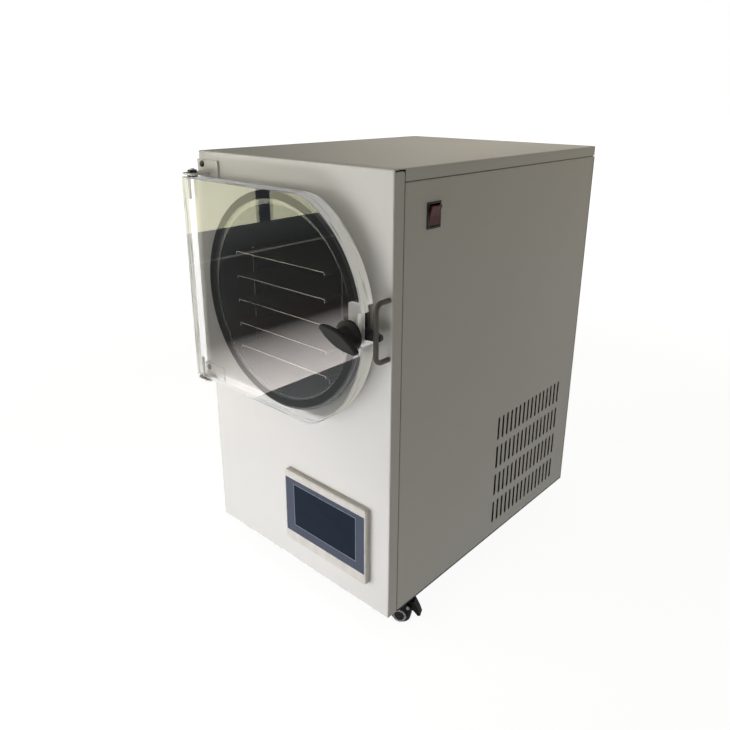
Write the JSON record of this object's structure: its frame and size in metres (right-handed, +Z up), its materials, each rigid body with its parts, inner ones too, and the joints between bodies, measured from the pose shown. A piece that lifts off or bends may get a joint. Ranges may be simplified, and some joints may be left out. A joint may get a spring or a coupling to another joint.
{
  "type": "freeze dryer",
  "caption": "Floor-standing freeze dryer: light sheet-metal cabinet on casters, round clear-door vacuum chamber with shelves, wing-knob latch, touch panel and slotted side.",
  "frame": {"origin": "on the floor under the middle of the whole machine's outer box", "axes": "+Z up, -Y the way the door faces, +X to the right of someone facing the door"},
  "size_m": [0.4752, 0.712, 0.805],
  "materials": {
    "powder_coat": "satin",
    "dark_paint": "satin",
    "galvanised": "satin",
    "stainless": "brushed",
    "plated_steel": "satin",
    "clear_plate": "polished",
    "black_silicone": "matte",
    "knob_black": "matte",
    "strike_grey": "satin",
    "bezel_grey": "satin",
    "overlay_grey": "gloss",
    "display_dark": "gloss",
    "housing_black": "matte",
    "rocker_red": "gloss",
    "compressor_black": "satin",
    "fin_aluminium": "mill",
    "foam": "matte",
    "caster_black": "satin",
    "wheel_rubber": "matte"
  },
  "bodies": {
    "cabinet": {"base_pan": "dark_paint", "front_panel": "powder_coat", "right_side_panel": "powder_coat", "left_side_panel": "powder_coat", "back_panel": "powder_coat", "top_lid": "powder_coat", "cabinet_frame": "dark_paint", "equipment_deck": "galvanised", "chamber_shell": "stainless", "chamber_end": "stainless", "chamber_insulation": "foam", "chamber_saddles": "galvanised", "door_gasket": "black_silicone", "shelf_rack": "stainless", "hinge_bracket_upper": "plated_steel", "hinge_bracket_lower": "plated_steel", "hinge_pin_upper": "plated_steel", "hinge_pin_lower": "plated_steel", "hinge_washers": "housing_black", "hinge_nuts": "dark_paint", "strike_bar": "strike_grey", "panel_bezel": "bezel_grey", "panel_glass": "overlay_grey", "panel_display": "display_dark", "panel_housing": "housing_black", "switch_body": "housing_black", "compressor": "compressor_black", "condenser": "fin_aluminium", "fan_shroud": "galvanised", "fan_motor": "compressor_black", "control_box": "galvanised", "vacuum_port": "stainless", "power_inlet": "housing_black", "caster_plates": "plated_steel", "shelf_1": "stainless", "shelf_2": "stainless", "shelf_3": "stainless", "shelf_4": "stainless", "shelf_5": "stainless"},
    "door": {"door_slab": "clear_plate", "latch_bush": "plated_steel"},
    "latch": {"latch_shaft": "plated_steel", "latch_dog": "dark_paint", "latch_knob": "knob_black"},
    "rocker": {"switch_rocker": "rocker_red"},
    "fan": {"fan_rotor": "housing_black"},
    "caster_front_right": {"caster_fork_front_right": "caster_black"},
    "wheel_front_right": {"caster_wheel_front_right": "wheel_rubber"},
    "pedal_front_right": {"brake_pedal_front_right": "caster_black"},
    "caster_front_left": {"caster_fork_front_left": "caster_black"},
    "wheel_front_left": {"caster_wheel_front_left": "wheel_rubber"},
    "pedal_front_left": {"brake_pedal_front_left": "caster_black"},
    "caster_rear_right": {"caster_fork_rear_right": "caster_black"},
    "wheel_rear_right": {"caster_wheel_rear_right": "wheel_rubber"},
    "caster_rear_left": {"caster_fork_rear_left": "caster_black"},
    "wheel_rear_left": {"caster_wheel_rear_left": "wheel_rubber"}
  },
  "joints": [
    {"name": "door_hinge", "type": "hinge", "parent": "cabinet", "child": "door", "pos_m": [-0.22207, -0.3115, 0.574], "axis": [0, 0, -1], "range_deg": [0, 180]},
    {"name": "latch_turn", "type": "hinge", "parent": "door", "child": "latch", "pos_m": [0.17643, -0.3255, 0.567], "axis": [0, -1, 0], "range_deg": [0, 90]},
    {"name": "switch_rock", "type": "hinge", "parent": "cabinet", "child": "rocker", "pos_m": [0.22043, -0.1962, 0.7328], "axis": [0, -1, 0], "range_deg": [0, 20]},
    {"name": "fan_spin", "type": "hinge", "parent": "cabinet", "child": "fan", "pos_m": [0.16473, 0.14975, 0.2007], "axis": [1, 0, 0], "continuous": true},
    {"name": "swivel_front_right", "type": "hinge", "parent": "cabinet", "child": "caster_front_right", "pos_m": [0.18443, -0.232, 0.055], "axis": [0, 0, 1], "continuous": true},
    {"name": "brake_front_right", "type": "hinge", "parent": "caster_front_right", "child": "pedal_front_right", "pos_m": [0.21491, -0.21778, 0.03902], "axis": [0.4226, -0.9063, 0], "range_deg": [0, 20]},
    {"name": "roll_front_right", "type": "hinge", "parent": "caster_front_right", "child": "wheel_front_right", "pos_m": [0.20074, -0.22439, 0.019], "axis": [-0.4226, 0.9063, 0], "continuous": true},
    {"name": "swivel_front_left", "type": "hinge", "parent": "cabinet", "child": "caster_front_left", "pos_m": [-0.19957, -0.232, 0.055], "axis": [0, 0, 1], "continuous": true},
    {"name": "brake_front_left", "type": "hinge", "parent": "caster_front_left", "child": "pedal_front_left", "pos_m": [-0.21108, -0.20039, 0.03902], "axis": [0.9397, 0.342, 0], "range_deg": [0, 20]},
    {"name": "roll_front_left", "type": "hinge", "parent": "caster_front_left", "child": "wheel_front_left", "pos_m": [-0.20573, -0.21509, 0.019], "axis": [-0.9397, -0.342, 0], "continuous": true},
    {"name": "swivel_rear_right", "type": "hinge", "parent": "cabinet", "child": "caster_rear_right", "pos_m": [0.18443, 0.272, 0.055], "axis": [0, 0, 1], "continuous": true},
    {"name": "roll_rear_right", "type": "hinge", "parent": "caster_rear_right", "child": "wheel_rear_right", "pos_m": [0.16704, 0.27666, 0.019], "axis": [-0.2588, -0.9659, 0], "continuous": true},
    {"name": "swivel_rear_left", "type": "hinge", "parent": "cabinet", "child": "caster_rear_left", "pos_m": [-0.19957, 0.272, 0.055], "axis": [0, 0, 1], "continuous": true},
    {"name": "roll_rear_left", "type": "hinge", "parent": "caster_rear_left", "child": "wheel_rear_left", "pos_m": [-0.21336, 0.28357, 0.019], "axis": [-0.6428, -0.766, 0], "continuous": true}
  ]
}
